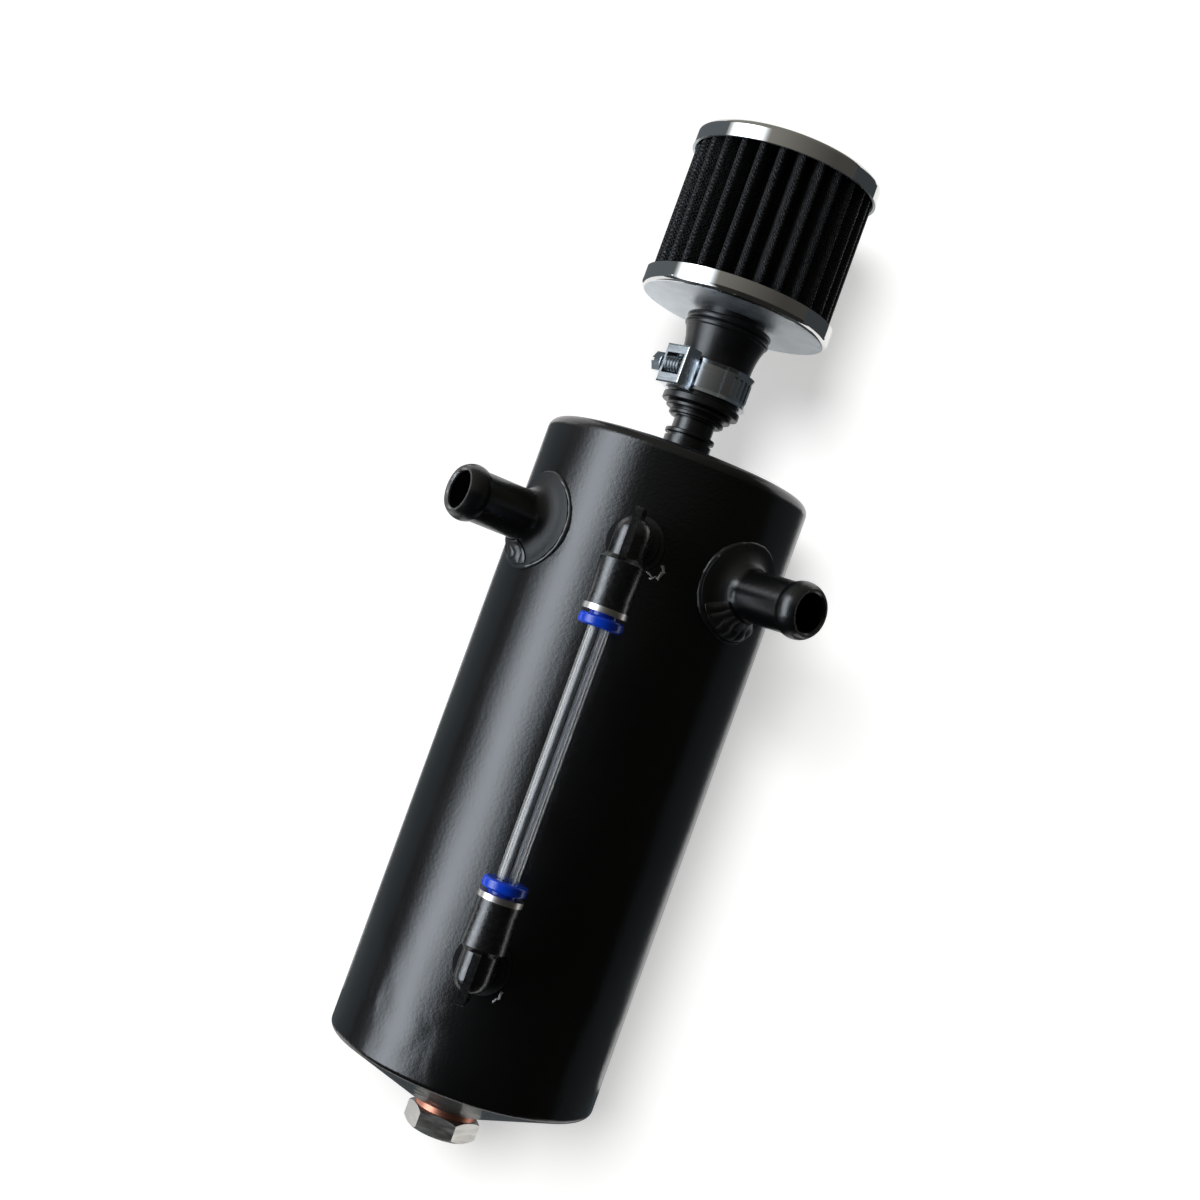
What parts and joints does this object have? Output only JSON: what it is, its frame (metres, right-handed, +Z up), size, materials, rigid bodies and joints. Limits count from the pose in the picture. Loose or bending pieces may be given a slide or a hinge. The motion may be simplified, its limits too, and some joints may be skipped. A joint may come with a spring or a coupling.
{
  "type": "oil catch can",
  "caption": "Cylindrical oil catch can for a crankcase breather: beaded hose tails, push-in sight tube, conical bottom with a drain plug, and a clamped pleated breather filter on top.",
  "frame": {"origin": "on the tank axis, level with the tank's lower rim where the conical bottom is welded on", "axes": "+Z up along the tank axis towards the breather filter, -Y towards the sight tube, +X to the right of the sight tube"},
  "size_m": [0.1096, 0.1004, 0.3025],
  "materials": {
    "tank_black": "satin black coat",
    "tail_black": "satin black coat with a bare bright lip at the mouth",
    "stub_black": "satin black coat",
    "bung_black": "satin black coat",
    "copper": "soft annealed copper",
    "plug_steel": "machined and plated",
    "neck_rubber": "moulded black rubber",
    "filter_chrome": "polished chrome plate",
    "filter_cloth": "pleated oiled cotton under fine black wire mesh",
    "clamp_zinc": "zinc-plated strip",
    "nickel": "nickel-plated brass",
    "stud_black": "black plating on a turned stud",
    "elbow_black": "moulded black, fine satin",
    "collet_blue": "moulded, semi-gloss",
    "seal_rubber": "black nitrile",
    "clear_tube": "clear extruded tube"
  },
  "bodies": {
    "can": {"tank_shell": "tank_black", "tank_crown": "tank_black", "tank_bottom": "tank_black", "drain_bung": "bung_black", "left_hose_tail": "tail_black", "right_hose_tail": "tail_black", "vent_stub": "stub_black", "filter_neck": "neck_rubber", "filter_base_cap": "filter_chrome", "filter_top_cap": "filter_chrome", "filter_top_seal": "neck_rubber", "filter_media": "filter_cloth", "clamp_band": "clamp_zinc", "clamp_housing": "clamp_zinc", "sight_tube": "clear_tube", "upper_gauge_boss": "bung_black", "upper_gauge_stud": "stud_black", "upper_stud_seal": "seal_rubber", "upper_elbow_body": "elbow_black", "upper_tube_seal": "seal_rubber", "upper_grab_ring": "nickel", "upper_ferrule": "nickel", "lower_gauge_boss": "bung_black", "lower_gauge_stud": "stud_black", "lower_stud_seal": "seal_rubber", "lower_elbow_body": "elbow_black", "lower_tube_seal": "seal_rubber", "lower_grab_ring": "nickel", "lower_ferrule": "nickel"},
    "drain_washer": {"drain_washer": "copper"},
    "drain_plug": {"drain_plug": "plug_steel"},
    "upper_collet": {"upper_release_collet": "collet_blue"},
    "lower_collet": {"lower_release_collet": "collet_blue"},
    "clamp_screw": {"clamp_screw": "clamp_zinc"}
  },
  "joints": [
    {"name": "drain_lower", "type": "slide", "parent": "can", "child": "drain_washer", "axis": [0, 0, -1], "range_m": [0, 0.00901]},
    {"name": "drain_turn", "type": "hinge", "parent": "drain_washer", "child": "drain_plug", "pos_m": [0, 0, -0.0158], "axis": [0, 0, -1], "range_deg": [0, 2160]},
    {"name": "upper_collet_press", "type": "slide", "parent": "can", "child": "upper_collet", "axis": [0, 0, 1], "range_m": [0, 0.0008], "stiffness_N_per_m": 400},
    {"name": "lower_collet_press", "type": "slide", "parent": "can", "child": "lower_collet", "axis": [0, 0, -1], "range_m": [0, 0.0008], "stiffness_N_per_m": 400},
    {"name": "clamp_screw_turn", "type": "hinge", "parent": "can", "child": "clamp_screw", "pos_m": [-0.00924, -0.01226, 0.2086], "axis": [0.7986, -0.6018, 0], "continuous": true}
  ],
  "couplings": [
    {"joint": "drain_lower", "follows": "drain_turn", "m_per_rad": 0.00023873}
  ]
}
